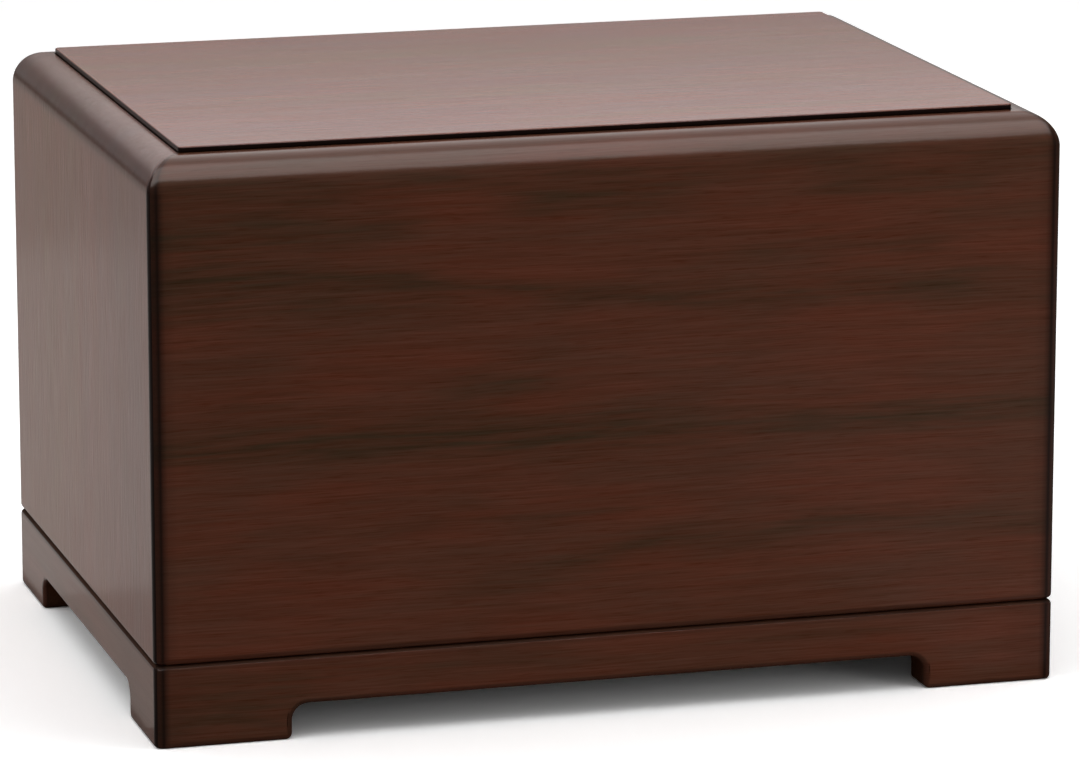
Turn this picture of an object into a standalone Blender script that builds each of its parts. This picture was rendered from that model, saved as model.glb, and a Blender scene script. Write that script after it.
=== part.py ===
# Wooden cremation urn box: a dark walnut case on a plinth with bracket feet, and a loose flat
# lid let into the rounded rim. The front faces -Y, right is +X, up is +Z. All sizes in metres.

from math import cos, pi, radians, sin

import bmesh
import bpy
from mathutils import Vector

# Outside of the box
BODY_WIDTH = 0.285
BODY_DEPTH = 0.206
OVERALL_HEIGHT = 0.1803
CORNER_RADIUS = 0.0025          # upright corners, sanded after glue-up
TOP_ROUND = 0.0104              # quarter round along the top edge
RIM_LAND = 0.0013              # flat left on the rim between the quarter round and the lid
GROOVE_ARRIS = 0.0015           # eased edges of the case and the plinth, which form the groove

# Walls and floor
LEDGE_WIDTH = 0.0063            # step inside the rim that carries the lid
FLOOR_THICKNESS = 0.008
FLOOR_GROOVE_DEPTH = 0.006      # how far the floor is let into the walls
FLOOR_RAISE = 0.005             # wall below the floor

# Lid
LID_THICKNESS = 0.0095
LID_PROUD = 0.00175             # how far the lid stands above the rim
LID_ARRIS = 0.0005
LID_BACK_BEVEL = 0.0004         # how much narrower the lid is where it sits in the rim
LID_CORNER_RADIUS = 0.0012

# Plinth
PLINTH_HEIGHT = 0.0256
PLINTH_THICKNESS = 0.013
FRONT_FOOT_LENGTH = 0.042
SIDE_FOOT_LENGTH = 0.037
ARCH_HEIGHT = 0.0108
ARCH_RADIUS = 0.005             # hollow corner between a foot and the rail
TOE_RADIUS = 0.002              # rounded inner end of a foot where it meets the ground
FOOT_ARRIS = 0.0012             # eased outer edge along the underside

# Clearances
LID_GAP = 0.0003
GLUE_GAP = 0.0003               # between faces that are glued together

# Fineness of the round forms
CORNER_STEPS = 8
ROUND_STEPS = 10
ARRIS_STEPS = 3
ARCH_STEPS = 8
MERGE_DISTANCE = 0.000001
SHARP_ANGLE = radians(32)
CUTTER_MARGIN = 0.01

# Places that follow from the sizes above
HALF_WIDTH = BODY_WIDTH / 2
HALF_DEPTH = BODY_DEPTH / 2
RIM_THICKNESS = TOP_ROUND + RIM_LAND
WALL_THICKNESS = RIM_THICKNESS + LEDGE_WIDTH
LID_INSET = RIM_THICKNESS + LID_GAP
RIM_TOP = OVERALL_HEIGHT - LID_PROUD
LID_BOTTOM = OVERALL_HEIGHT - LID_THICKNESS
LEDGE_TOP = LID_BOTTOM - GLUE_GAP
WALL_BOTTOM = PLINTH_HEIGHT + GLUE_GAP / 2
PLINTH_TOP = PLINTH_HEIGHT - GLUE_GAP / 2
FLOOR_BOTTOM = WALL_BOTTOM + FLOOR_RAISE
FLOOR_TOP = FLOOR_BOTTOM + FLOOR_THICKNESS

WALNUT = (0.058, 0.022, 0.011)
WALNUT_EDGE = (0.030, 0.012, 0.007)
FLOOR_BROWN = (0.075, 0.038, 0.021)

SIDES = {
    "front": Vector((0, -1, 0)),
    "back": Vector((0, 1, 0)),
    "left": Vector((-1, 0, 0)),
    "right": Vector((1, 0, 0)),
}


def clear_scene():
    for old in list(bpy.data.objects):
        bpy.data.objects.remove(old, do_unlink=True)


def wood(name, colour, roughness):
    material = bpy.data.materials.new(name)
    material.use_nodes = True
    shader = material.node_tree.nodes["Principled BSDF"]
    shader.inputs["Base Color"].default_value = (*colour, 1.0)
    shader.inputs["Roughness"].default_value = roughness
    shader.inputs["Metallic"].default_value = 0.0
    return material


def arc(centre, radius, start, end, steps):
    """Points along an arc in a plane, its angles in degrees from the plane's first axis."""
    angles = [radians(start + (end - start) * step / steps) for step in range(steps + 1)]
    return [(centre[0] + radius * cos(a), centre[1] + radius * sin(a)) for a in angles]


def plan_outline(inset, radius):
    """A rectangle with round corners, set in from the outside of the box by the inset."""
    points = []
    for quarter, (sign_x, sign_y) in enumerate(((1, 1), (-1, 1), (-1, -1), (1, -1))):
        centre_x = sign_x * (HALF_WIDTH - inset - radius)
        centre_y = sign_y * (HALF_DEPTH - inset - radius)
        points += arc((centre_x, centre_y), radius, 90 * quarter, 90 * quarter + 90, CORNER_STEPS)
    return points


def outer_levels(points):
    """Each (inset, height) on the outside, with the corner radius that is left at that inset."""
    return [(inset, height, max(CORNER_RADIUS - inset, 0.0)) for inset, height in points]


def add_loops(mesh, levels):
    """One loop of vertices for each (inset, height, corner radius), joined by rows of faces."""
    loops = []
    for inset, height, radius in levels:
        outline = plan_outline(inset, radius)
        loops.append([mesh.verts.new((x, y, height)) for x, y in outline])
    for lower, upper in zip(loops, loops[1:]):
        for i, vertex in enumerate(lower):
            j = (i + 1) % len(lower)
            mesh.faces.new((vertex, lower[j], upper[j], upper[i]))
    return loops


def add_object(name, mesh, material, parent):
    bmesh.ops.remove_doubles(mesh, verts=mesh.verts, dist=MERGE_DISTANCE)
    bmesh.ops.recalc_face_normals(mesh, faces=mesh.faces)
    data = bpy.data.meshes.new(name)
    mesh.to_mesh(data)
    mesh.free()
    data.materials.append(material)
    data.shade_smooth()
    data.set_sharp_from_angle(angle=SHARP_ANGLE)
    piece = bpy.data.objects.new(name, data)
    piece.parent = parent
    bpy.context.collection.objects.link(piece)
    return piece


def mitred_board(name, section, outward, material, parent):
    """One side of a frame whose section runs all round, cut off at its two mitres."""
    mesh = bmesh.new()
    add_loops(mesh, section + section[:1])
    bmesh.ops.remove_doubles(mesh, verts=mesh.verts, dist=MERGE_DISTANCE)
    everything = mesh.verts[:] + mesh.edges[:] + mesh.faces[:]
    bmesh.ops.bisect_plane(
        mesh, geom=everything, plane_co=(0, 0, 0), plane_no=outward, clear_inner=True)
    along = Vector((-outward.y, outward.x, 0))
    for end in (1, -1):
        to_corner = outward + end * along
        corner = Vector((HALF_WIDTH * to_corner.x, HALF_DEPTH * to_corner.y, 0))
        mitre_normal = (outward - end * along).normalized()
        everything = mesh.verts[:] + mesh.edges[:] + mesh.faces[:]
        cut = bmesh.ops.bisect_plane(
            mesh, geom=everything, plane_co=corner + mitre_normal * GLUE_GAP / 2,
            plane_no=mitre_normal, clear_inner=True)
        rim = [item for item in cut["geom_cut"] if isinstance(item, bmesh.types.BMEdge)]
        bmesh.ops.edgeloop_fill(mesh, edges=rim)
    return add_object(name, mesh, material, parent)


def plate(name, levels, material, parent):
    """A flat board whose edge follows the levels, closed by one face below and one above."""
    mesh = bmesh.new()
    loops = add_loops(mesh, levels)
    mesh.faces.new(reversed(loops[0]))
    mesh.faces.new(loops[-1])
    return add_object(name, mesh, material, parent)


def wall_section():
    """The wall from its lower outer edge up, over the rim, down the lid's step and the inside."""
    lower_arris = arc((GROOVE_ARRIS, WALL_BOTTOM + GROOVE_ARRIS), GROOVE_ARRIS, 270, 180, ARRIS_STEPS)
    top_round = arc((TOP_ROUND, RIM_TOP - TOP_ROUND), TOP_ROUND, 180, 90, ROUND_STEPS)
    step_radius = LID_CORNER_RADIUS + LID_GAP
    groove_inset = WALL_THICKNESS - FLOOR_GROOVE_DEPTH
    inside = [
        (WALL_THICKNESS, LEDGE_TOP),
        (WALL_THICKNESS, FLOOR_TOP + GLUE_GAP),
        (groove_inset, FLOOR_TOP + GLUE_GAP),
        (groove_inset, FLOOR_BOTTOM - GLUE_GAP),
        (WALL_THICKNESS, FLOOR_BOTTOM - GLUE_GAP),
        (WALL_THICKNESS, WALL_BOTTOM),
    ]
    section = outer_levels(lower_arris + top_round)
    section += [(RIM_THICKNESS, RIM_TOP, step_radius), (RIM_THICKNESS, LEDGE_TOP, step_radius)]
    section += [(inset, height, 0.0) for inset, height in inside]
    return section


def plinth_section():
    """The plinth's board: eased along the ground and under the groove, plain inside."""
    foot_arris = arc((FOOT_ARRIS, FOOT_ARRIS), FOOT_ARRIS, 270, 180, ARRIS_STEPS)
    top_arris = arc((GROOVE_ARRIS, PLINTH_TOP - GROOVE_ARRIS), GROOVE_ARRIS, 180, 90, ARRIS_STEPS)
    section = outer_levels(foot_arris + top_arris)
    section += [(PLINTH_THICKNESS, PLINTH_TOP, 0.0), (PLINTH_THICKNESS, 0.0, 0.0)]
    return section


def arch_outline(half_span):
    """The space under a rail: spread at the ground by the round toes, hollow corners above."""
    hollow = min(ARCH_RADIUS, ARCH_HEIGHT - TOE_RADIUS)
    toe = arc((-half_span - TOE_RADIUS, TOE_RADIUS), TOE_RADIUS, 270, 360, ARRIS_STEPS)
    corner = arc((-half_span + hollow, ARCH_HEIGHT - hollow), hollow, 180, 90, ARCH_STEPS)
    half = [(-half_span - TOE_RADIUS, -CUTTER_MARGIN)] + toe + corner
    return half + [(-along, height) for along, height in reversed(half)]


def arch_cutter(name, half_span, half_reach, turn, parent):
    """The arch's outline run straight through both rails of a pair, as a hidden cutter."""
    mesh = bmesh.new()
    reach = half_reach + CUTTER_MARGIN
    outline = [mesh.verts.new((along, -reach, height)) for along, height in arch_outline(half_span)]
    face = mesh.faces.new(outline)
    pushed = bmesh.ops.extrude_face_region(mesh, geom=[face])
    moved = [item for item in pushed["geom"] if isinstance(item, bmesh.types.BMVert)]
    bmesh.ops.translate(mesh, verts=moved, vec=(0, 2 * reach, 0))
    bmesh.ops.recalc_face_normals(mesh, faces=mesh.faces)
    data = bpy.data.meshes.new(name)
    mesh.to_mesh(data)
    mesh.free()
    cutter = bpy.data.objects.new(name, data)
    cutter.rotation_euler.z = turn
    cutter.parent = parent
    cutter.hide_render = True
    cutter.display_type = "WIRE"
    bpy.context.collection.objects.link(cutter)
    return cutter


def cut_arch(rail, cutter):
    boolean = rail.modifiers.new("arch", "BOOLEAN")
    boolean.operation = "DIFFERENCE"
    boolean.solver = "EXACT"
    boolean.object = cutter


def build_walls(parent):
    """Four boards with mitred ends: the case, with the lid's step and the floor's groove."""
    walnut = wood("walnut_case", WALNUT, 0.35)
    for side, outward in SIDES.items():
        mitred_board("wall_" + side, wall_section(), outward, walnut, parent)


def build_floor(parent):
    """A board let into the groove round the inside of the walls."""
    inset = WALL_THICKNESS - FLOOR_GROOVE_DEPTH + GLUE_GAP
    levels = [(inset, FLOOR_BOTTOM, 0.0), (inset, FLOOR_TOP, 0.0)]
    plate("floor_board", levels, wood("walnut_floor", FLOOR_BROWN, 0.6), parent)


def build_plinth(parent):
    """Four mitred rails under the walls, each arched between its two feet."""
    walnut = wood("walnut_plinth", WALNUT, 0.35)
    front_arch = arch_cutter(
        "arch_front_back", HALF_WIDTH - FRONT_FOOT_LENGTH, HALF_DEPTH, 0.0, parent)
    side_arch = arch_cutter(
        "arch_left_right", HALF_DEPTH - SIDE_FOOT_LENGTH, HALF_WIDTH, pi / 2, parent)
    for side, outward in SIDES.items():
        rail = mitred_board("plinth_" + side, plinth_section(), outward, walnut, parent)
        cut_arch(rail, front_arch if outward.x == 0 else side_arch)


def build_lid(parent):
    """A flat panel that drops into the rim, its edge cut back below the eased top edge."""
    narrow = LID_INSET + LID_BACK_BEVEL
    levels = [(narrow, LID_BOTTOM), (narrow, RIM_TOP)]
    levels += arc(
        (LID_INSET + LID_ARRIS, OVERALL_HEIGHT - LID_ARRIS), LID_ARRIS, 180, 90, ARRIS_STEPS)
    rounded = [(inset, z, max(LID_CORNER_RADIUS + LID_INSET - inset, 0.0)) for inset, z in levels]
    plate("lid", rounded, wood("walnut_lid", WALNUT_EDGE, 0.32), parent)


clear_scene()
urn_box = bpy.data.objects.new("urn_box", None)
bpy.context.collection.objects.link(urn_box)
build_plinth(urn_box)
build_walls(urn_box)
build_floor(urn_box)
build_lid(urn_box)
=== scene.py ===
# Wooden cremation urn box: a dark walnut case on a plinth with bracket feet, and a loose flat lid
# let into the rounded rim. The front faces -Y, right is +X, up is +Z. All sizes in metres.

from math import pi, radians

import bpy
import numpy as np
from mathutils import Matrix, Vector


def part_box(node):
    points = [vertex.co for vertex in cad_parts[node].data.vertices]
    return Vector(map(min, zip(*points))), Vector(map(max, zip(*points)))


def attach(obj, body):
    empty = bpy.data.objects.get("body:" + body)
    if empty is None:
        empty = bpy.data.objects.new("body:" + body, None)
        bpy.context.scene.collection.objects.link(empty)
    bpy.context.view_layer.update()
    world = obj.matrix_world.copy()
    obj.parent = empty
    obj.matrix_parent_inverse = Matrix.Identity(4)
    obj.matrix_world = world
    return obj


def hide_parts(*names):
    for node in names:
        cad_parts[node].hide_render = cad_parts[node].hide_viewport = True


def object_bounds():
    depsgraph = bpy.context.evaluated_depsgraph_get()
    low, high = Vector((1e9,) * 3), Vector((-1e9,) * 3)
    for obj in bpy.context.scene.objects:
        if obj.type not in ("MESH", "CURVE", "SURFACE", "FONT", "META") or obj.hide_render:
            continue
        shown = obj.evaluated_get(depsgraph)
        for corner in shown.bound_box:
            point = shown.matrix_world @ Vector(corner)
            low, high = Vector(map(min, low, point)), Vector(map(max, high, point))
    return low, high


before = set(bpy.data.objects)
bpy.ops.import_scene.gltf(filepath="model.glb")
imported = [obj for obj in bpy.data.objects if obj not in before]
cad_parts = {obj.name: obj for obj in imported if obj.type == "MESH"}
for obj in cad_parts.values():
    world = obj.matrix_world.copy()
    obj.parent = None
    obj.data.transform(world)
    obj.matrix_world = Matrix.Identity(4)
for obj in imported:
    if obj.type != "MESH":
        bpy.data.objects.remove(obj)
cad_low, cad_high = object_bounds()


# Plinth rails
# Four rails of stained walnut, 13 mm thick, mitred at the corners and glued under the case. Each is
# sawn to an arch that leaves a bracket foot at either end, and its edges are eased with sandpaper.

half_width, half_depth = cad_high.x, cad_high.y
sides = {"front": (0, -1), "back": (0, 1), "left": (-1, 0), "right": (1, 0)}
corner_radius = 0.0025
corner_steps = 8
mitre_hairline = 0.00001
# Darker colour on the rounded corners: partly darker staining of sanded edges, partly painted shade
stain_columns = np.array([[0.0008], [0.0022]])
long_corner_stain = [(0.55, 0.72), (0.85, 0.95), (1.0, 0.85), (1.3, 0.30), (2.0, 0.0)]
short_corner_stain = [(0.85, 1.0), (1.0, 0.0)]
front_third_stain = [(0.02, 0.0), (0.07, 0.25)]
hip_stain = 0.4
board_step = 0.003
hold = 0.0006

rail_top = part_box("plinth_front")[1].z
rail_thickness = 0.013
foot_arris = 0.0012
rail_top_arris = 0.0015
lacquer_end = 0.00015
rail_inner_arris = 0.0005
front_foot_length = 0.042
side_foot_length = 0.037
arch_height = 0.0108
hollow_radius = 0.005
toe_radius = 0.002
fan_spread = 0.004
# Painted shade on the rails' edges: along the ground, at the top in the groove under the case, and
# underneath
low_edge_stain = 0.5
top_edge_stain = 0.6
inner_edge_stain = 0.25
painted_highlight_share = 0.3


def half_sizes(side):
    """Half of the box along a side, and half of it out to that side."""
    return (half_width, half_depth) if side in ("front", "back") else (half_depth, half_width)


def quarter(radius, steps):
    """An eased edge seen end on, as two arrays: radius (1 - sin a) and radius (1 - cos a)."""
    angle = np.linspace(0, pi / 2, steps + 1)
    return radius * (1 - np.sin(angle)), radius * (1 - np.cos(angle))


def corner_columns(inset, radius, half_along, half_out):
    """Columns from a mitre to a board's straight part, for steps t from 0 to 1, along and out.

    The plan outline at each inset turns through 45 degrees on its own radius. What that radius is
    short of the outer one is added as length along the board, t times the difference. Two more
    columns follow close by on the straight part, where the corner's darker staining and painted shade run
    out."""
    t = np.linspace(0, 1, corner_steps + 1)[:, None]
    turn = pi / 4 * (1 - t)
    along = half_along - inset - radius + radius * np.sin(turn) - (corner_radius - radius) * t
    out = half_out - inset - radius + radius * np.cos(turn)
    along = np.concatenate([along, along[-1] - stain_columns])
    return along - mitre_hairline, np.concatenate([out, out[-1:], out[-1:]])


def corner_stain(side, along, inset, radius):
    """How much darker the corners are, less so where they narrow: partly darker staining on the
    sanded corners, partly painted shade on the rounding.

    The distance from the outline's sharp corner is taken as a share of the radius there. On a long
    side the darkening is deepest where the rounding ends and feathers out, on a short one it stops.
    The front third of the left side is darker as well, painted shade."""
    narrowest = 0.0004
    share = (half_sizes(side)[0] - inset - np.abs(along)) / (radius + narrowest)
    profile = long_corner_stain if side in ("front", "back") else short_corner_stain
    depth = np.interp(share, *zip(*profile))
    # Painted shade towards the front of the left side
    if side == "left":
        depth = np.maximum(depth, np.interp(along, *zip(*front_third_stain)))
    return depth * (hip_stain + (1 - hip_stain) * radius / corner_radius)


def arch_edge(half_span, foot_reach):
    """A rail's lower edge from foot to foot, the way into the wood from it, and the top above it.

    The edge runs flat under the foot, round the toe, up the foot's side, through the hollow and
    along the arch, and is mirrored. The lines up to the rail's top fan out over the hollow."""
    toe = np.radians(np.linspace(270, 360, 7))
    hollow = np.radians(np.linspace(180, 90, 9))
    hollow_middle = (-half_span + hollow_radius, arch_height - hollow_radius)
    foot = np.linspace(-foot_reach, -half_span - toe_radius, 9)[:-1]
    upright = np.linspace(toe_radius, arch_height - hollow_radius, 4)[1:-1]
    arch = np.linspace(-half_span + hollow_radius, 0, int(half_span / board_step) + 1)[1:]
    edge = np.concatenate([
        np.stack([foot, 0 * foot], 1),
        np.stack([np.cos(toe) - 1, np.sin(toe) + 1], 1) * toe_radius + (-half_span, 0),
        np.stack([0 * upright - half_span, upright], 1),
        np.stack([np.cos(hollow), np.sin(hollow)], 1) * hollow_radius + hollow_middle,
        np.stack([arch, 0 * arch + arch_height], 1),
    ])
    into = np.concatenate([
        np.stack([0 * foot, 0 * foot + 1], 1),
        np.stack([-np.cos(toe), -np.sin(toe)], 1),
        np.stack([0 * upright - 1, 0 * upright], 1),
        np.stack([np.cos(hollow), np.sin(hollow)], 1),
        np.stack([0 * arch, 0 * arch + 1], 1),
    ])
    fan_end = len(edge) - len(arch) - 1
    above = np.interp(
        np.arange(len(edge)), [0, len(foot), fan_end, len(edge) - 1],
        [-foot_reach, -half_span - toe_radius - fan_spread, -half_span + hollow_radius + fan_spread, 0])
    mirrored = (-1, 1)
    return (np.concatenate([edge, edge[-2::-1] * mirrored]),
            np.concatenate([into, into[-2::-1] * mirrored]),
            np.concatenate([above, -above[-2::-1]]))


def rail_ring():
    """The rail seen end on, counted from its lower outer edge up, over, down inside and under.

    Each point has an inset from the outer face, a rise from the lower edge, the share of the way
    from that edge to the top, a drop from the top, and the painted shade on an edge."""
    low_in, low_rise = quarter(foot_arris, steps=5)
    top_drop, top_in = quarter(rail_top_arris, steps=6)
    levels = np.linspace(0, 1, 8)
    points = [(i, r, 0, 0, low_edge_stain) for i, r in zip(low_in, low_rise)]
    points += [(0, foot_arris + hold, f, rail_top_arris + hold, 0) for f in levels]
    points += [(i, 0, 1, d, top_edge_stain) for i, d in zip(top_in, top_drop)]
    points += [(rail_top_arris + hold, 0, 1, 0, 0), (rail_thickness - hold, 0, 1, 0, 0)]
    points += [(rail_thickness, 0, 1, 0, 0), (rail_thickness, 0, 1, hold, 0)]
    points += [(rail_thickness, rail_inner_arris + hold, f, hold, 0) for f in (0.66, 0.33, 0)]
    points += [(rail_thickness, rail_inner_arris, 0, 0, inner_edge_stain)]
    points += [(rail_thickness - rail_inner_arris, 0, 0, 0, inner_edge_stain)]
    points += [(rail_thickness - rail_inner_arris - hold, 0, 0, 0, 0)]
    points += [(foot_arris + hold, 0, 0, 0, inner_edge_stain)]
    return np.array(points).T


def stand(side, along, out, height):
    """Turns a board's own directions, along and out from the middle, to that side of the box."""
    out_x, out_y = sides[side]
    return np.stack([out_x * out - out_y * along, out_y * out + out_x * along, height], -1)


streak_fade = 0.012
chance_slope = 0.02
chance_overrun = 1.2
chance_widths = (0.0015, 0.005)
chance_strengths = (0.2, 0.6)
crease_angle = radians(32)


def streaks(along, across, lines):
    """Broad dark streaks of the heartwood, 0 to 1, where a board's face is along by across.

    Each streak is a line of points with a half width and a strength. Its darkness falls off as a
    bell curve across the line and past its ends, and streaks that cross add up without clipping."""
    clear = np.ones(np.broadcast(along, across).shape)
    for points, half_size, strength in lines:
        path = np.array(points)
        centre = np.interp(along, path[:, 0], path[:, 1])
        beyond = np.maximum(np.maximum(path[0, 0] - along, along - path[-1, 0]), 0)
        bell = np.exp(-((across - centre) / half_size) ** 2 - (beyond / streak_fade) ** 2)
        clear = clear * (1 - strength * bell)
    return 1 - clear


def chance_streaks(seed, half_length, low, high, count):
    """Streaks drawn at random over a board's length and width, where its own aren't given."""
    chance = np.random.default_rng(seed)
    lines = []
    for centre in chance.uniform(low, high, count):
        ends = np.sort(chance.uniform(-chance_overrun * half_length, chance_overrun * half_length, 2))
        slope = chance.normal(0, chance_slope)
        points = [(a, centre + slope * a) for a in ends]
        lines.append((points, chance.uniform(*chance_widths), chance.uniform(*chance_strengths)))
    return lines


def board(name, rings, plank, figure, stain, inner, materials):
    """A board from a grid of points: columns along it, and a closed ring of points in each.

    Neighbouring columns are joined by rows of four-sided faces and the two ends are closed. Faces
    from the inner point of the ring on take the second material. The plank attribute holds each
    point's place in the tree: along the grain, across it and through the board."""
    columns, around = rings.shape[:2]
    index = np.arange(columns * around).reshape(columns, around)
    following = np.roll(index, -1, axis=1)
    quads = np.stack([index[:-1], following[:-1], following[1:], index[1:]], -1).reshape(-1, 4)
    faces = quads.tolist() + [index[0, ::-1].tolist(), index[-1].tolist()]
    points = rings.reshape(-1, 3)
    a, b, c = points[quads[:, 0]], points[quads[:, 1]], points[quads[:, 2]]
    middle = points.mean(0)
    if np.einsum("ij,ij->i", a - middle, np.cross(b - a, c - a)).sum() < 0:
        faces = [face[::-1] for face in faces]
    data = bpy.data.meshes.new(name)
    data.from_pydata(points, [], faces)
    second = np.zeros(len(faces), np.int32)
    second[:len(quads)] = np.tile(np.arange(around) >= inner, columns - 1)
    for material in materials:
        data.materials.append(material)
    data.polygons.foreach_set("material_index", second)
    return finish_piece(name, data, plank.reshape(-1, 3), figure.ravel(), stain.ravel())


def finish_piece(name, data, plank, figure, stain):
    """Adds the attributes that the wood's finish reads, smooths the rounded parts, links the piece."""
    grain = data.attributes.new("plank", "FLOAT_VECTOR", "POINT")
    grain.data.foreach_set("vector", plank.astype(np.float32).ravel())
    for key, values in (("figure", figure), ("stain", stain)):
        data.attributes.new(key, "FLOAT", "POINT").data.foreach_set("value", values.astype(np.float32))
    data.shade_smooth()
    data.set_sharp_from_angle(angle=crease_angle)
    data.validate()
    piece = bpy.data.objects.new(name, data)
    bpy.context.collection.objects.link(piece)
    return piece


def linear(hex_colour):
    """An sRGB hex colour as the linear light that a shader reads."""
    srgb = np.array([int(hex_colour[i:i + 2], 16) for i in (1, 3, 5)]) / 255
    light = np.where(srgb <= 0.04045, srgb / 12.92, ((srgb + 0.055) / 1.055) ** 2.4)
    return (*light.tolist(), 1.0)


def result(node):
    """The first output that a node has in use."""
    return next(output for output in node.outputs if output.enabled)


def add_node(tree, kind, settings, inputs):
    """Adds a node, sets its own settings, and fills its inputs with values or other nodes' results.

    An input is named, or numbered where several share a name. A node stands for its result."""
    node = tree.nodes.new(kind)
    for name, value in settings.items():
        setattr(node, name, value)
    for key, value in inputs.items():
        in_use = [socket for socket in node.inputs if socket.enabled and socket.name == key]
        socket = in_use[0] if in_use else node.inputs[key]
        if isinstance(value, bpy.types.Node):
            value = result(value)
        if isinstance(value, bpy.types.NodeSocket):
            tree.links.new(value, socket)
        else:
            socket.default_value = value
    return node


# The patterns in the wood. Each has the size of its cells along, across and through the board, its
# octaves of detail, and the middle stretch of its noise that is spread over 0 to 1. Growth lines,
# torn patches, fibres and vessels are measured in fibre lengths and widths, the others in metres.
drift_pattern = (0.11, 0.03, 0.05), 1.0, (0.0, 1.0)
cloud_pattern = (0.060, 0.012, 0.030), 2.0, (0.35, 0.65)
ring_pattern = (2.5, 6.0, 6.0), 2.0, (0.34, 0.66)
patch_pattern = (1.2, 4.0, 8.0), 2.0, (0.40, 0.66)
fibre_pattern = (1.0, 1.0, 1.0), 2.0, (0.3, 0.7)
vessel_pattern = (0.3, 0.9, 0.9), 1.0, (0.56, 0.72)
drift_reach = 0.004
patch_bite = 0.4
patch_share = 0.20
vessel_share = 0.6
fibre_roughness = 0.05
octave_strength = 0.55


def walnut(name, browns, fibre, contrast, growth, roughness, gloss, relief):
    """Stained walnut, read from the plank, figure and stain attributes.

    What the eye sees, from large to small: broad olive streaks of heartwood, clouds of a warmer and
    a cooler brown, growth lines, torn olive patches, fibres of the length and width given, and the
    dark dashes of cut vessels. The lines darken the wood by the shares contrast and growth, towards
    its colour times the line's, and the fibres stand a little proud."""
    material = bpy.data.materials.new(name)
    material.use_nodes = True
    tree = material.node_tree
    shader = tree.nodes["Principled BSDF"]
    plank = add_node(tree, "ShaderNodeAttribute", {"attribute_name": "plank"}, {}).outputs["Vector"]
    figure = add_node(tree, "ShaderNodeAttribute", {"attribute_name": "figure"}, {}).outputs["Fac"]
    stain = add_node(tree, "ShaderNodeAttribute", {"attribute_name": "stain"}, {}).outputs["Fac"]

    def grain(source, pattern, unit=(1.0, 1.0, 1.0)):
        """One of the patterns as noise over the board, its cells measured in the unit."""
        cell, detail, spread = pattern
        cell = [size * length for size, length in zip(cell, unit)]
        cells = add_node(tree, "ShaderNodeVectorMath", {"operation": "DIVIDE"}, {0: source, 1: cell})
        noise = add_node(tree, "ShaderNodeTexNoise", {},
                         {"Vector": cells, "Scale": 1.0, "Detail": detail, "Roughness": octave_strength})
        return add_node(tree, "ShaderNodeMapRange", {},
                        {"Value": noise, "From Min": spread[0], "From Max": spread[1]})

    drift = add_node(tree, "ShaderNodeMath", {"operation": "MULTIPLY"},
                     {0: grain(plank, drift_pattern), 1: drift_reach})
    shift = add_node(tree, "ShaderNodeCombineXYZ", {}, {"Y": drift})
    wavy = add_node(tree, "ShaderNodeVectorMath", {"operation": "ADD"}, {0: plank, 1: shift})
    clouds = grain(wavy, cloud_pattern)
    long, wide = fibre
    rings = grain(wavy, ring_pattern, (long, wide, wide))
    patches = grain(wavy, patch_pattern, (long, wide, wide))
    fibres = grain(wavy, fibre_pattern, (long, wide, wide))
    vessels = grain(wavy, vessel_pattern, (long, wide, wide))

    warm = add_node(tree, "ShaderNodeMix", {"data_type": "RGBA"},
                    {"Factor": clouds, "A": linear(browns["red"]), "B": linear(browns["cool"])})
    torn = add_node(tree, "ShaderNodeMath", {"operation": "MULTIPLY_ADD"},
                    {0: patches, 1: patch_bite, 2: 1 - patch_bite})
    streaked = add_node(tree, "ShaderNodeMath", {"operation": "MULTIPLY"}, {0: figure, 1: torn})
    dusk = add_node(tree, "ShaderNodeMath", {"operation": "MULTIPLY_ADD", "use_clamp": True},
                    {0: patches, 1: patch_share, 2: streaked})
    wood = add_node(tree, "ShaderNodeMix", {"data_type": "RGBA"},
                    {"Factor": dusk, "A": warm, "B": linear(browns["olive"])})
    lines = add_node(tree, "ShaderNodeMath", {"operation": "MULTIPLY"}, {0: rings, 1: growth})
    lines = add_node(tree, "ShaderNodeMath", {"operation": "MULTIPLY_ADD"},
                     {0: fibres, 1: contrast, 2: lines})
    lines = add_node(tree, "ShaderNodeMath", {"operation": "MULTIPLY_ADD", "use_clamp": True},
                     {0: vessels, 1: vessel_share * contrast, 2: lines})
    lined = add_node(tree, "ShaderNodeMix", {"data_type": "RGBA", "blend_type": "MULTIPLY"},
                     {"Factor": lines, "A": wood, "B": linear(browns["line"])})
    # Darker staining and painted shade, from the attribute, towards the edge colour
    stained = add_node(tree, "ShaderNodeMix", {"data_type": "RGBA"},
                       {"Factor": stain, "A": lined, "B": linear(browns["edge"])})
    tree.links.new(result(stained), shader.inputs["Base Color"])

    rough = add_node(tree, "ShaderNodeMath", {"operation": "MULTIPLY_ADD"},
                     {0: fibres, 1: fibre_roughness, 2: roughness})
    tree.links.new(result(rough), shader.inputs["Roughness"])
    height = add_node(tree, "ShaderNodeMath", {"operation": "MULTIPLY_ADD"},
                      {0: vessels, 1: -vessel_share, 2: fibres})
    bump = add_node(tree, "ShaderNodeBump", {}, {"Strength": 1.0, "Distance": relief, "Height": height})
    tree.links.new(bump.outputs["Normal"], shader.inputs["Normal"])
    shader.inputs["IOR"].default_value = 1.5
    shader.inputs["Specular IOR Level"].default_value = gloss
    return material


# Rubbed satin lacquer over a dark walnut stain: deep brown seen straight on, and a soft grey veil
# at a low angle. Its fibres are 0.5 mm wide, about the finest that show from across a table.
satin_walnut = walnut(
    "satin_lacquered_walnut",
    # The edge colour is darker staining and painted shade on edges and in gaps
    {"red": "#5E3628", "cool": "#56372A", "olive": "#3E3022", "line": "#C37C00", "edge": "#120805"},
    fibre=(0.025, 0.00050), contrast=0.38, growth=0.10, roughness=0.18, gloss=0.06, relief=0.000004)
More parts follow.
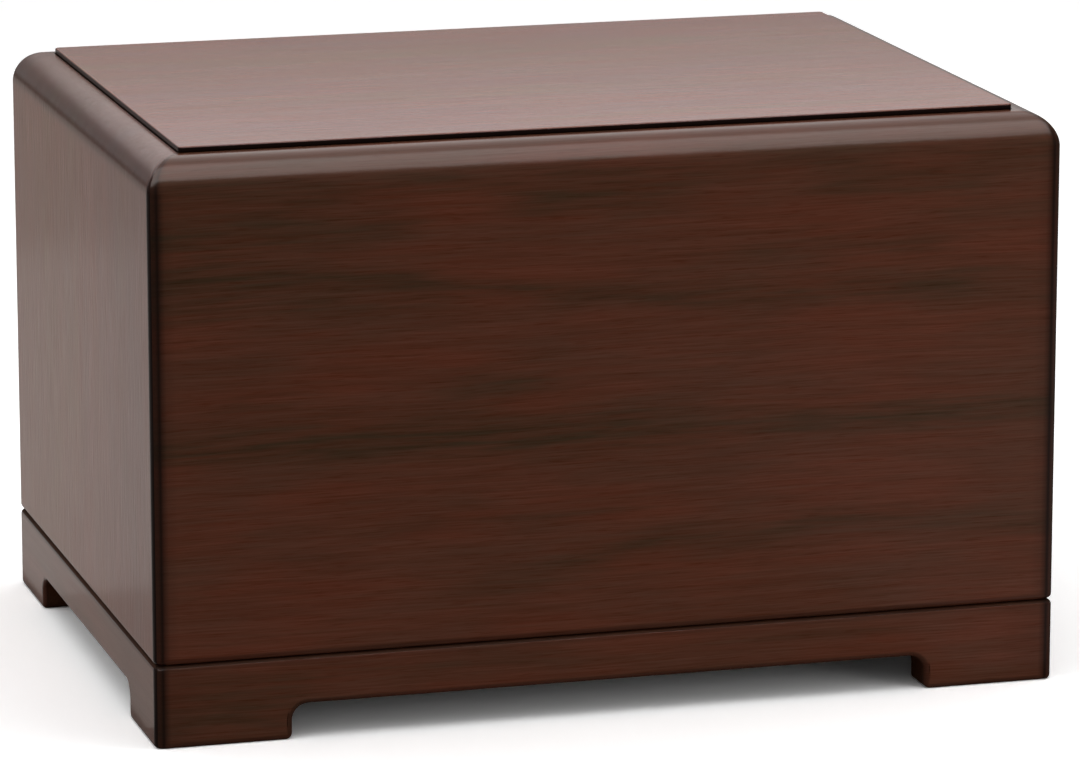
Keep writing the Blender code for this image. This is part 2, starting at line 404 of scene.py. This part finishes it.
# The same stain without lacquer, as the inside and the underside are left: dull, with no veil
sealed_walnut = walnut(
    "sealed_walnut",
    {"red": "#4B2C1B", "cool": "#3F2618", "olive": "#352418", "line": "#A08060", "edge": "#1A100B"},
    fibre=(0.015, 0.00050), contrast=0.50, growth=0.25, roughness=0.70, gloss=0.02, relief=0.00002)


# The front rail's heartwood lies in its left foot: right, up from the ground, in metres
front_rail_figure = [
    ([(-0.142, 0.0090), (-0.102, 0.0110)], 0.0130, 0.60),
    ([(-0.100, 0.0200), (-0.020, 0.0185)], 0.0030, 0.35),
    ([(0.010, 0.0215), (0.080, 0.0205)], 0.0016, 0.25),
]


def rail(side, foot_length, seed):
    """One rail: a column of the ring at each step of the lower edge, and the mitred ends.

    The lacquer stops in the groove, a little way round the top edge, and on the long rails most of
    the painted shade is left off there, as a painted highlight."""
    half_along, half_out = half_sizes(side)
    inset, rise, share, drop, ring_stain = rail_ring()
    radius = np.maximum(corner_radius - inset, 0)
    end_along, end_out = corner_columns(inset, radius, half_along, half_out)
    end_height = (1 - share) * rise + share * (rail_top - drop) + 0 * end_along
    foot_reach = half_along - rail_thickness - 2 * corner_radius
    edge, into, above = arch_edge(half_along - foot_length, foot_reach)
    mid_along = (1 - share) * (edge[:, :1] + into[:, :1] * rise) + share * above[:, None]
    mid_height = (1 - share) * (edge[:, 1:] + into[:, 1:] * rise) + share * (rail_top - drop)
    mid_out = half_out - inset + 0 * mid_along
    along = np.concatenate([-end_along, mid_along, end_along[::-1]])
    out = np.concatenate([end_out, mid_out, end_out[::-1]])
    height = np.concatenate([end_height, mid_height, end_height[::-1]])
    chance = np.random.default_rng(seed)
    plank = np.stack([along, height, out], -1) + chance.uniform(0, 3, 3)
    if side == "front":
        lines = front_rail_figure
    else:
        lines = chance_streaks(seed, half_along, 0.0, rail_top, count=4)
    figure = streaks(along, height, lines)
    # Painted highlight: the long rails keep only a share of the painted shade on their top edge
    if side in ("front", "back"):
        ring_stain = np.where(share == 1, painted_highlight_share * ring_stain, ring_stain)
    stain = np.maximum(corner_stain(side, along, inset, radius), ring_stain)
    inner = int(np.argmax((share == 1) & (inset > lacquer_end)))
    piece = board("rail_" + side, stand(side, along, out, height), plank, figure, stain, inner,
                  (satin_walnut, sealed_walnut))
    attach(piece, "root")
    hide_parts("plinth_" + side)


first_rail_seed = 31
for number, side in enumerate(sides):
    foot_length = front_foot_length if side in ("front", "back") else side_foot_length
    rail(side, foot_length, first_rail_seed + number)


# Walls of the case
# Four walnut boards, 18 mm thick, mitred at the upright corners and rounded over along the top.
# A step inside the rim carries the lid, and a groove below holds the bottom board.

wall_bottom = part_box("wall_front")[0].z
rim_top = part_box("wall_front")[1].z
lid_bottom, lid_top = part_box("lid")[0].z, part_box("lid")[1].z
floor_bottom, floor_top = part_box("floor_board")[0].z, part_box("floor_board")[1].z
top_round = 0.0104
groove_arris = 0.0015
rim_thickness = 0.0117
rim_arris = 0.00012
lid_gap = 0.0003
floor_gap = 0.0003
ledge_top = lid_bottom - lid_gap
wall_thickness = 0.018
ledge_arris = 0.0005
lid_corner_radius = 0.0012
floor_groove_depth = 0.006
# Painted shade on the walls' edges: in the groove above the plinth, at the rim's inner edge, and in full
# down the step in the gap round the lid
lower_edge_stain = 0.4
rim_edge_stain = 0.2
end_grain_stain = 0.6
end_grain_fade = 0.7
end_grain_start = 1.1
end_grain_reach = 0.2


def wall_ring():
    """The wall seen end on, from its lower outer edge up, over the rim, down the step and inside.

    Each point has an inset, a height, the corner's radius there and the painted shade of an edge. The
    corner's radius shrinks in step with the turn of the round-over, so the hip runs out sharp."""
    low_in, low_rise = quarter(groove_arris, steps=6)
    level_step = 0.002
    levels = np.arange(wall_bottom + groove_arris + hold, rim_top - top_round - hold, level_step)
    round_drop, round_in = quarter(top_round, steps=26)
    turn = np.linspace(1, 0, len(round_in))
    step_radius = lid_corner_radius + lid_gap
    groove_in = wall_thickness - floor_groove_depth
    points = [(i, wall_bottom + r, corner_radius, lower_edge_stain) for i, r in zip(low_in, low_rise)]
    points += [(0, z, corner_radius, 0) for z in levels]
    points += [(0, rim_top - top_round - hold / 2, corner_radius, 0)]
    points += [(i, rim_top - d, corner_radius * t, 0) for i, d, t in zip(round_in, round_drop, turn)]
    points += [(rim_thickness - rim_arris - hold, rim_top, step_radius / 2, 0)]
    points += [(rim_thickness - rim_arris, rim_top, step_radius, rim_edge_stain)]
    # Painted shade in full down the step, in the gap round the lid
    points += [(rim_thickness, rim_top - rim_arris, step_radius, 1)]
    points += [(rim_thickness, rim_top - rim_arris - hold, step_radius, 1)]
    points += [(rim_thickness, ledge_top + hold, step_radius, 1), (rim_thickness, ledge_top, step_radius, 1)]
    points += [(rim_thickness + hold, ledge_top, 0, 1)]
    points += [(wall_thickness - ledge_arris - hold, ledge_top, 0, 0)]
    points += [(wall_thickness - ledge_arris, ledge_top, 0, 0)]
    lowest_inside = floor_top + 0.001
    inside = np.linspace(ledge_top - ledge_arris - hold, lowest_inside, 12)
    points += [(wall_thickness, ledge_top - ledge_arris, 0, 0)]
    points += [(wall_thickness, z, 0, 0) for z in inside]
    points += [(wall_thickness, floor_top + floor_gap, 0, 0), (groove_in, floor_top + floor_gap, 0, 0)]
    points += [(groove_in, floor_bottom - floor_gap, 0, 0), (wall_thickness, floor_bottom - floor_gap, 0, 0)]
    points += [(wall_thickness, wall_bottom, 0, 0)]
    points += [(groove_arris + hold, wall_bottom, 0, lower_edge_stain)]
    return np.array(points).T


# A lighter, redder copy of the lacquered walnut for the left board, painted light for that brightly
# lit side, with broad olive heartwood. Its fibres are drawn three times as wide, because finer ones
# don't show on this side.
left_walnut_painted_light = walnut(
    "satin_lacquered_walnut_painted_light_left",
    {"red": "#6B3F36", "cool": "#613E3B", "olive": "#624729", "line": "#DC9000", "edge": "#120805"},
    fibre=(0.020, 0.0016), contrast=0.70, growth=0.35, roughness=0.18, gloss=0.06, relief=0.000020)

# The front board's heartwood, as it lies in the photo: right, up from the ground, in metres
front_figure = [
    ([(-0.142, 0.1700), (0.142, 0.1690)], 0.0060, 0.45),
    ([(-0.142, 0.1520), (-0.095, 0.1560)], 0.0180, 0.45),
    ([(-0.142, 0.143), (-0.068, 0.139)], 0.0036, 0.75),
    ([(-0.070, 0.139), (0.028, 0.1265)], 0.0016, 0.85),
    ([(-0.142, 0.1565), (-0.070, 0.1553)], 0.0032, 0.75),
    ([(-0.138, 0.1328), (-0.055, 0.1315)], 0.0036, 0.45),
    ([(-0.008, 0.1315), (0.108, 0.1270)], 0.0034, 0.45),
    ([(0.052, 0.1270), (0.108, 0.1283)], 0.0024, 0.45),
    ([(0.082, 0.1330), (0.142, 0.1300)], 0.0016, 0.35),
    ([(0.115, 0.1503), (0.142, 0.1508)], 0.0026, 0.40),
    ([(0.115, 0.1240), (0.142, 0.1225)], 0.0030, 0.40),
    ([(-0.142, 0.0915), (-0.110, 0.0905), (-0.030, 0.0890), (0.050, 0.0880), (0.142, 0.0878)], 0.0048, 0.80),
    ([(-0.085, 0.0915), (0.015, 0.0905)], 0.0070, 0.55),
    ([(-0.114, 0.0970), (-0.104, 0.0970)], 0.0120, 0.35),
    ([(-0.040, 0.1053), (-0.030, 0.1053)], 0.0040, 0.60),
    ([(-0.033, 0.0440), (-0.003, 0.0503), (0.018, 0.0548), (0.048, 0.0528), (0.065, 0.0573),
      (0.090, 0.0553), (0.142, 0.0503)], 0.0034, 0.60),
    ([(-0.102, 0.0640), (-0.003, 0.0635)], 0.0016, 0.30),
    ([(-0.022, 0.1610), (0.017, 0.1610)], 0.0045, 0.65),
    ([(0.074, 0.1605), (0.110, 0.1600)], 0.0045, 0.60),
    ([(0.032, 0.1420), (0.097, 0.1420)], 0.0050, 0.30),
]
# The left board's, which stands upright: up from the ground, forward, in metres
left_figure = [
    ([(0.000, -0.050), (0.180, -0.044)], 0.0500, 0.55),
    ([(0.070, -0.050), (0.160, -0.044)], 0.0070, 0.55),
    ([(0.000, -0.036), (0.075, -0.032)], 0.0110, 0.45),
    ([(0.020, -0.080), (0.170, -0.086)], 0.0090, 0.40),
    ([(0.060, -0.012), (0.175, -0.004)], 0.0100, 0.35),
    ([(0.010, 0.030), (0.120, 0.024)], 0.0050, 0.30),
    ([(0.090, 0.060), (0.170, 0.066)], 0.0060, 0.25),
]


def wall(side, seed):
    """One wall: its ring carried from mitre to mitre. The grain runs level, upright on the ends.

    The round-over of an end board cuts through its fibres; this end grain is stained darker, and the
    band is painted shade on the round-over as well. It darkens within a fifth of the radius and pales
    again towards the lid."""
    long_side = side in ("front", "back")
    half_along, half_out = half_sizes(side)
    inset, height, radius, ring_stain = wall_ring()
    end_along, end_out = corner_columns(inset, radius, half_along, half_out)
    count = int(2 * half_along / board_step)
    mid_along = np.linspace(-1, 1, count + 1)[1:-1, None] * end_along[-1]
    along = np.concatenate([-end_along, mid_along, end_along[::-1]])
    out = np.concatenate([end_out, half_out - inset + 0 * mid_along, end_out[::-1]])
    height = height + 0 * along
    chance = np.random.default_rng(seed)
    with_grain, across_grain = (along, height) if long_side else (height, along)
    plank = np.stack([with_grain, across_grain, out], -1) + chance.uniform(0, 3, 3)
    if side == "front":
        lines = front_figure
    elif side == "back":
        lines = chance_streaks(seed, half_along, wall_bottom, rim_top, count=16)
    elif side == "left":
        lines = left_figure
    else:
        lines = chance_streaks(seed, rim_top, -half_along, half_along, count=18)
    figure = streaks(with_grain, across_grain, lines)
    if not long_side:
        # End-grain staining and painted shade on the round-over of the end boards
        above_start = height - (rim_top - end_grain_start * top_round)
        end_grain_and_shade = np.clip(above_start / (end_grain_reach * top_round), 0, 1)
        paling = np.clip(1 - end_grain_fade * inset / rim_thickness, 1 - end_grain_fade, 1)
        end_grain_and_shade = end_grain_and_shade * paling * (inset < rim_thickness)
        ring_stain = np.maximum(ring_stain, end_grain_stain * end_grain_and_shade)
    stain = np.maximum(corner_stain(side, along, inset, radius), ring_stain)
    inner = int(np.argmax(inset >= wall_thickness))
    piece = board("case_" + side, stand(side, along, out, height), plank, figure, stain, inner,
                  (left_walnut_painted_light if side == "left" else satin_walnut, sealed_walnut))
    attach(piece, "root")
    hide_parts("wall_" + side)


first_wall_seed = 51
for number, side in enumerate(sides):
    wall(side, first_wall_seed + number)


# Bottom board
# A thin plain board let into the groove of the walls before glue-up. It is sealed and not lacquered.
# Its patterns are given as cells per metre, along the grain, across it and through the board.

floor_fibres = (30, 900, 900)
floor_clouds = (14, 60, 60)
floor_fibre_share = 0.5
floor_cloud_share = 0.6


def sealed_board():
    """Brown sealed board: level fibres about a millimetre wide over a soft cloud of tone."""
    material = bpy.data.materials.new("sealed_brown_board")
    material.use_nodes = True
    tree = material.node_tree
    shader = tree.nodes["Principled BSDF"]
    place = add_node(tree, "ShaderNodeTexCoord", {}, {}).outputs["Object"]
    fibre_place = add_node(tree, "ShaderNodeMapping", {}, {"Vector": place, "Scale": floor_fibres})
    fibres = add_node(tree, "ShaderNodeTexNoise", {}, {"Vector": fibre_place, "Scale": 1.0, "Detail": 2.0})
    cloud_place = add_node(tree, "ShaderNodeMapping", {}, {"Vector": place, "Scale": floor_clouds})
    cloud = add_node(tree, "ShaderNodeTexNoise", {}, {"Vector": cloud_place, "Scale": 1.0, "Detail": 2.0})
    tone = add_node(tree, "ShaderNodeMath", {"operation": "MULTIPLY"}, {0: fibres, 1: floor_fibre_share})
    share = add_node(tree, "ShaderNodeMath", {"operation": "MULTIPLY_ADD"},
                     {0: cloud, 1: floor_cloud_share, 2: tone})
    colour = add_node(tree, "ShaderNodeMix", {"data_type": "RGBA"},
                      {"Factor": share, "A": linear("#553621"), "B": linear("#38220F")})
    tree.links.new(result(colour), shader.inputs["Base Color"])
    bump = add_node(tree, "ShaderNodeBump", {}, {"Distance": 0.00003, "Height": fibres})
    tree.links.new(bump.outputs["Normal"], shader.inputs["Normal"])
    shader.inputs["Roughness"].default_value = 0.6
    shader.inputs["Specular IOR Level"].default_value = 0.15
    return material


bottom_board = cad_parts["floor_board"]
bottom_board.data.materials.clear()
bottom_board.data.materials.append(sealed_board())


# Lid
# One flat walnut panel that drops into the rim and stands a little proud. Its top edge is eased,
# its sides are cut back where they sit in the rim, and they darken to the edge colour: darker
# staining and painted shade of the gap round the lid.

lid_half_width, lid_half_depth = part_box("lid")[1].x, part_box("lid")[1].y
lid_arris = 0.0005
lid_back_bevel = 0.0004
lid_plank_place = (0.7, 0.3, 1.9)
lid_seed = 77
lid_streak_reach = 0.13
# Its back half is mostly heartwood: right, back, in metres
lid_figure = chance_streaks(lid_seed, lid_streak_reach, -lid_half_depth, lid_half_depth, count=14) + [
    ([(-0.130, 0.050), (0.130, 0.030)], 0.0450, 0.50),
]

# A lighter copy of the lacquered walnut for the lid, the lightest of them, painted light for its
# brightly lit top. Its fibres too are drawn three times as wide, so that they show at a low angle.
lid_walnut_painted_light = walnut(
    "satin_lacquered_lid_walnut_painted_light",
    {"red": "#784B43", "cool": "#704A4A", "olive": "#6C543C", "line": "#F09B00", "edge": "#120805"},
    fibre=(0.030, 0.0015), contrast=0.48, growth=0.26, roughness=0.18, gloss=0.06, relief=0.000014)


def lid_sheet(inset):
    """The lid's plan at an inset, as a grid: columns from left to right, rows from front to back.

    The first columns follow the round corners, x = radius (1 - cos a) and y = radius (1 - sin a),
    the others are even. Rows keep a close pair at each edge, which holds the face flat."""
    sharpest = 0.0002
    radius = max(lid_corner_radius - inset, sharpest)
    reach_x, reach_y = lid_half_width - inset, lid_half_depth - inset
    corner_y, corner_x = quarter(radius, steps=6)
    even = np.linspace(-reach_x + radius + hold, 0, int(reach_x / board_step))
    x = np.concatenate([-reach_x + corner_x, even])
    front = np.concatenate([-reach_y + corner_y, 0 * even - reach_y])
    x = np.concatenate([x, -x[-2::-1]])
    front = np.concatenate([front, front[-2::-1]])
    near = hold / reach_y
    rows = np.concatenate([[-1], np.linspace(-1 + near, 1 - near, int(2 * reach_y / board_step)), [1]])
    return np.stack(np.broadcast_arrays(x[:, None], -front[:, None] * rows), -1)


def grid_border(columns, rows):
    """The numbers of a grid's border points, once round."""
    index = np.arange(columns * rows).reshape(columns, rows)
    return np.concatenate([index[:, 0], index[-1, 1:], index[-2::-1, -1], index[0, -2:0:-1]])


def build_lid():
    """The lid: a top sheet, loops down round its edge, and a sheet below."""
    down, inward = quarter(lid_arris, steps=5)
    levels = [(i, lid_top - d) for i, d in zip(inward[::-1], down[::-1])][1:]
    levels += [(0, rim_top + lid_gap), (lid_back_bevel, rim_top), (lid_back_bevel, lid_bottom + lid_arris)]
    top = lid_sheet(lid_arris)
    below = lid_sheet(lid_back_bevel + lid_arris)
    columns, rows = top.shape[:2]
    border = grid_border(columns, rows)
    points = [np.concatenate([top.reshape(-1, 2), np.full((columns * rows, 1), lid_top)], 1)]
    loops = [border]
    for inset, height in levels:
        loop = lid_sheet(inset).reshape(-1, 2)[border]
        loops.append(sum(map(len, points)) + np.arange(len(border)))
        points.append(np.concatenate([loop, np.full((len(border), 1), height)], 1))
    first_below = sum(map(len, points))
    loops.append(first_below + border)
    points.append(np.concatenate([below.reshape(-1, 2), np.full((columns * rows, 1), lid_bottom)], 1))
    points = np.concatenate(points)
    index = np.arange(columns * rows).reshape(columns, rows)
    sheet = np.stack([index[:-1, :-1], index[1:, :-1], index[1:, 1:], index[:-1, 1:]], -1).reshape(-1, 4)
    sides_start = len(sheet) + len(down) * len(border)
    loops = np.array(loops)
    following = np.roll(loops, -1, axis=1)
    skirt = np.stack([loops[:-1], loops[1:], following[1:], following[:-1]], -1).reshape(-1, 4)
    faces = np.concatenate([sheet, skirt, sheet[:, ::-1] + first_below])
    data = bpy.data.meshes.new("lid_panel")
    data.from_pydata(points, [], faces.tolist())
    for material in (lid_walnut_painted_light, sealed_walnut):
        data.materials.append(material)
    unlacquered = np.arange(len(faces)) >= sides_start
    data.polygons.foreach_set("material_index", unlacquered.astype(np.int32))
    plank = points + np.array(lid_plank_place)
    figure = streaks(points[:, 0], points[:, 1], lid_figure)
    # Painted shade: the lid's sides darken to the edge colour, as the gap round it
    stain = np.clip((lid_top - points[:, 2]) / lid_arris, 0, 1)
    return finish_piece("lid_panel", data, plank, figure, stain)


lid_panel = build_lid()
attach(lid_panel, "root")
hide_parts("lid")


# Studio
# White paper on the ground, an even surround that is a little brighter at the horizon, wide soft
# lights above and behind, reflectors that lie on the paper, and the camera at the photo's angle.

floor_size = 12.0
paper_tone = linear("#A9A09B")
paper_seen = (1.5, 1.5, 1.5, 1.0)
horizon_glow, upper_glow, glow_height = 0.54, 0.49, 0.2

bpy.ops.mesh.primitive_plane_add(size=floor_size)
floor = bpy.context.object
floor.name = "studio_floor"
paper = bpy.data.materials.new("matt_white_paper")
paper.use_nodes = True
sheet = paper.node_tree
# The camera sees the paper overexposed, as in a studio, while the box is lit by its real tone
looked_at = add_node(sheet, "ShaderNodeLightPath", {}, {}).outputs["Is Camera Ray"]
white = add_node(sheet, "ShaderNodeMix", {"data_type": "RGBA"},
                 {"Factor": looked_at, "A": paper_tone, "B": paper_seen})
sheet.links.new(result(white), sheet.nodes["Principled BSDF"].inputs["Base Color"])
sheet.nodes["Principled BSDF"].inputs["Roughness"].default_value = 0.9
sheet.nodes["Principled BSDF"].inputs["Specular IOR Level"].default_value = 0.1
floor.data.materials.append(paper)

surround = bpy.data.worlds.new("surround")
surround.use_nodes = True
bpy.context.scene.world = surround
sky = surround.node_tree
direction = add_node(sky, "ShaderNodeTexCoord", {}, {}).outputs["Generated"]
upward = add_node(sky, "ShaderNodeSeparateXYZ", {}, {"Vector": direction}).outputs["Z"]
level = add_node(sky, "ShaderNodeMapRange", {},
                 {"Value": upward, "From Min": 0.0, "From Max": glow_height,
                  "To Min": horizon_glow, "To Max": upper_glow})
seen = add_node(sky, "ShaderNodeLightPath", {}, {}).outputs["Is Camera Ray"]
bright = add_node(sky, "ShaderNodeMath", {"operation": "MAXIMUM"}, {0: level, 1: seen})
sky.links.new(bright.outputs["Value"], sky.nodes["Background"].inputs["Strength"])
sky.nodes["Background"].inputs["Color"].default_value = linear("#FFFFFF")


def soft_light(name, place, turn, size, radiance, glossy, tint="#FFFFFF"):
    """A rectangle of light, facing down before its turn. Its power is pi times area times radiance.

    A glossy one only shows as a reflection in the lacquer, any other only lights the wood."""
    lamp = bpy.data.lights.new(name, "AREA")
    lamp.shape = "RECTANGLE"
    lamp.size, lamp.size_y = size
    lamp.energy = pi * size[0] * size[1] * radiance
    lamp.color = linear(tint)[:3]
    lit = bpy.data.objects.new(name, lamp)
    lit.location = place
    lit.rotation_euler = turn
    lit.visible_camera = False
    lit.visible_glossy = glossy
    lit.visible_diffuse = not glossy
    bpy.context.collection.objects.link(lit)


# Each with its place, turn, size in metres, radiance, and whether it is a glossy one
soft_light("overhead_sheen", (-0.50, -0.72, 1.18), (0, 0, 0), (2.5, 1.36), 16.86, True)
soft_light("top_sheen", (-0.3, 0.65, 1.18), (0, 0, 0), (2.0, 1.7), 4.61, True)
soft_light("back_sheen", (0.0, 0.50, 0.42), (radians(-80), 0, 0), (1.4, 0.26), 1.43, True, "#FFF3F0")
soft_light("overhead_fill", (0.30, -0.10, 1.50), (0, 0, 0), (2.4, 1.6), 0.91, False)
soft_light("back_reflector", (-0.77, 0.89, 0.0004), (pi, 0, 0), (1.25, 1.94), 0.34, True, "#FFF3EC")
soft_light("near_reflector", (-0.77, 0.36, 0.0006), (pi, 0, 0), (1.25, 0.56), 0.17, True)
soft_light("front_reflector", (0.42, -0.34, 0.0004), (pi, 0, 0), (0.60, 0.44), 0.8, True)
soft_light("near_right_fill", (0.60, -0.60, 0.14), (radians(86), 0, radians(43)), (0.5, 0.3), 3.1, False)
soft_light("left_fill", (-1.60, 0.10, 0.80), (0, radians(-90), 0), (1.2, 1.6), 1.01, False)

view = bpy.data.cameras.new("camera")
view.lens = 199.09
camera = bpy.data.objects.new("camera", view)
camera_tilt, camera_turn = 0.2253, 0.2801
camera.location = (-0.5061, -1.7814, 0.5034)
camera.rotation_euler = (pi / 2 - camera_tilt, 0.0, -camera_turn)
bpy.context.collection.objects.link(camera)
bpy.context.scene.camera = camera
bpy.context.scene.view_settings.view_transform = "Standard"
